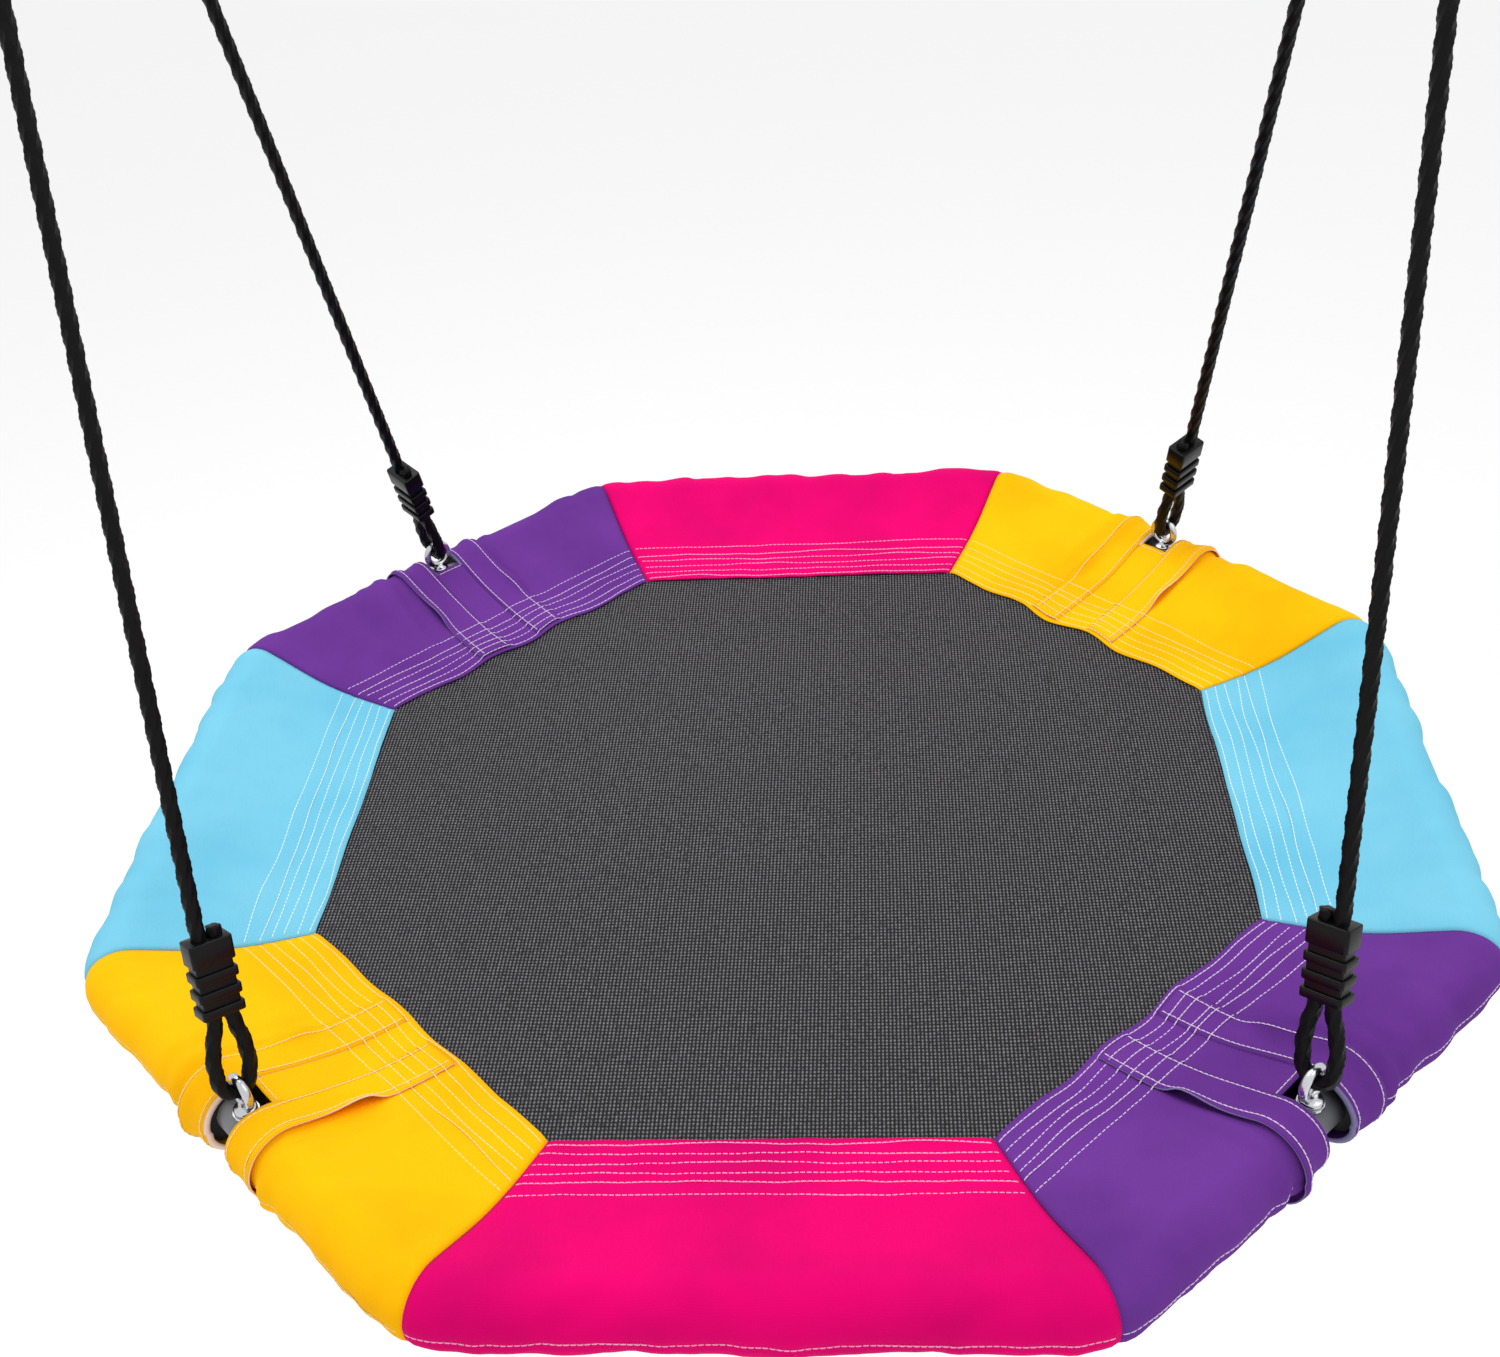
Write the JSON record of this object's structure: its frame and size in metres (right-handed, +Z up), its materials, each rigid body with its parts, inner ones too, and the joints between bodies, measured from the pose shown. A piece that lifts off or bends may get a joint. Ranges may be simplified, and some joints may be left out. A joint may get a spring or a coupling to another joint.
{
  "type": "platform swing",
  "caption": "Octagonal platform swing: mesh seat in a coloured cloth border over a bent tube frame, hung by adjustable ropes from rings and oval links.",
  "frame": {"origin": "where the left oval link bears on the hanger that holds it, at the middle of the inside of its top bend", "axes": "+X to the user's right along the line of the two hangers, -Y is the front of the seat, +Z up"},
  "size_m": [1.0158, 1.0158, 1.2767],
  "materials": {
    "grey_tube": "satin grey powder coat",
    "grey_foam": "closed cell foam",
    "zinc_steel": "bright zinc plating",
    "black_plastic": "satin moulded black",
    "black_rope": "braided polyester",
    "seat_mesh": "coated open weave",
    "cloth_pink": "matt coated plain weave",
    "cloth_yellow": "matt coated plain weave",
    "cloth_blue": "matt coated plain weave",
    "cloth_purple": "matt coated plain weave"
  },
  "bodies": {
    "oval_links": {"oval_link_left": "zinc_steel", "oval_link_right": "zinc_steel"},
    "hanging_rings": {"hanging_ring_left": "zinc_steel", "hanging_ring_right": "zinc_steel"},
    "left_ropes": {"rope_front_left": "black_rope", "rope_clamp_front_left": "zinc_steel", "rope_back_left": "black_rope", "rope_clamp_back_left": "zinc_steel"},
    "right_ropes": {"rope_front_right": "black_rope", "rope_clamp_front_right": "zinc_steel", "rope_back_right": "black_rope", "rope_clamp_back_right": "zinc_steel"},
    "platform": {"frame_tube_front": "grey_tube", "foam_sleeve_front": "grey_foam", "frame_tube_right": "grey_tube", "foam_sleeve_right": "grey_foam", "frame_tube_back": "grey_tube", "foam_sleeve_back": "grey_foam", "frame_tube_left": "grey_tube", "foam_sleeve_left": "grey_foam", "border_front": "cloth_pink", "border_front_right": "cloth_purple", "border_right": "cloth_blue", "border_back_right": "cloth_yellow", "border_back": "cloth_pink", "border_back_left": "cloth_purple", "border_left": "cloth_blue", "border_front_left": "cloth_yellow", "strip_front_right_a": "cloth_purple", "strip_front_right_b": "cloth_purple", "strip_back_right_a": "cloth_yellow", "strip_back_right_b": "cloth_yellow", "strip_back_left_a": "cloth_purple", "strip_back_left_b": "cloth_purple", "strip_front_left_a": "cloth_yellow", "strip_front_left_b": "cloth_yellow", "mesh_seat": "seat_mesh", "eye_bolt_front_left": "zinc_steel", "top_washer_front_left": "zinc_steel", "bottom_washer_front_left": "zinc_steel", "lock_nut_front_left": "zinc_steel", "eye_bolt_front_right": "zinc_steel", "top_washer_front_right": "zinc_steel", "bottom_washer_front_right": "zinc_steel", "lock_nut_front_right": "zinc_steel", "eye_bolt_back_right": "zinc_steel", "top_washer_back_right": "zinc_steel", "bottom_washer_back_right": "zinc_steel", "lock_nut_back_right": "zinc_steel", "eye_bolt_back_left": "zinc_steel", "top_washer_back_left": "zinc_steel", "bottom_washer_back_left": "zinc_steel", "lock_nut_back_left": "zinc_steel"},
    "adjuster_front_left": {"adjuster_front_left": "black_plastic"},
    "adjuster_front_right": {"adjuster_front_right": "black_plastic"},
    "adjuster_back_right": {"adjuster_back_right": "black_plastic"},
    "adjuster_back_left": {"adjuster_back_left": "black_plastic"}
  },
  "joints": [
    {"name": "swing", "type": "hinge", "parent": "oval_links", "child": "hanging_rings", "pos_m": [0, 0, -0.0502], "axis": [1, 0, 0], "range_deg": [-45, 45]},
    {"name": "left_sway", "type": "hinge", "parent": "hanging_rings", "child": "left_ropes", "pos_m": [0, 0, -0.0722], "axis": [0, 1, 0], "range_deg": [-6, 6]},
    {"name": "right_sway", "type": "hinge", "parent": "hanging_rings", "child": "right_ropes", "pos_m": [0.834, 0, -0.0722], "axis": [0, 1, 0], "range_deg": [-6.1, 6.1]},
    {"name": "platform_tilt", "type": "hinge", "parent": "left_ropes", "child": "platform", "pos_m": [0.07582, 0, -1.2095], "axis": [0, 1, 0], "range_deg": [-7.4, 7.4]},
    {"name": "slide_adjuster_front_left", "type": "slide", "parent": "left_ropes", "child": "adjuster_front_left", "axis": [-0.059, 0.2928, 0.9543], "range_m": [0, 0.03]},
    {"name": "slide_adjuster_front_right", "type": "slide", "parent": "right_ropes", "child": "adjuster_front_right", "axis": [0.059, 0.2928, 0.9543], "range_m": [0, 0.03]},
    {"name": "slide_adjuster_back_right", "type": "slide", "parent": "right_ropes", "child": "adjuster_back_right", "axis": [0.0685, -0.2926, 0.9538], "range_m": [0, 0.03]},
    {"name": "slide_adjuster_back_left", "type": "slide", "parent": "left_ropes", "child": "adjuster_back_left", "axis": [-0.0685, -0.2926, 0.9538], "range_m": [0, 0.03]}
  ],
  "couplings": [
    {"joint": "right_sway", "follows": "left_sway", "ratio": 1},
    {"joint": "platform_tilt", "follows": "left_sway", "ratio": -1.223}
  ]
}
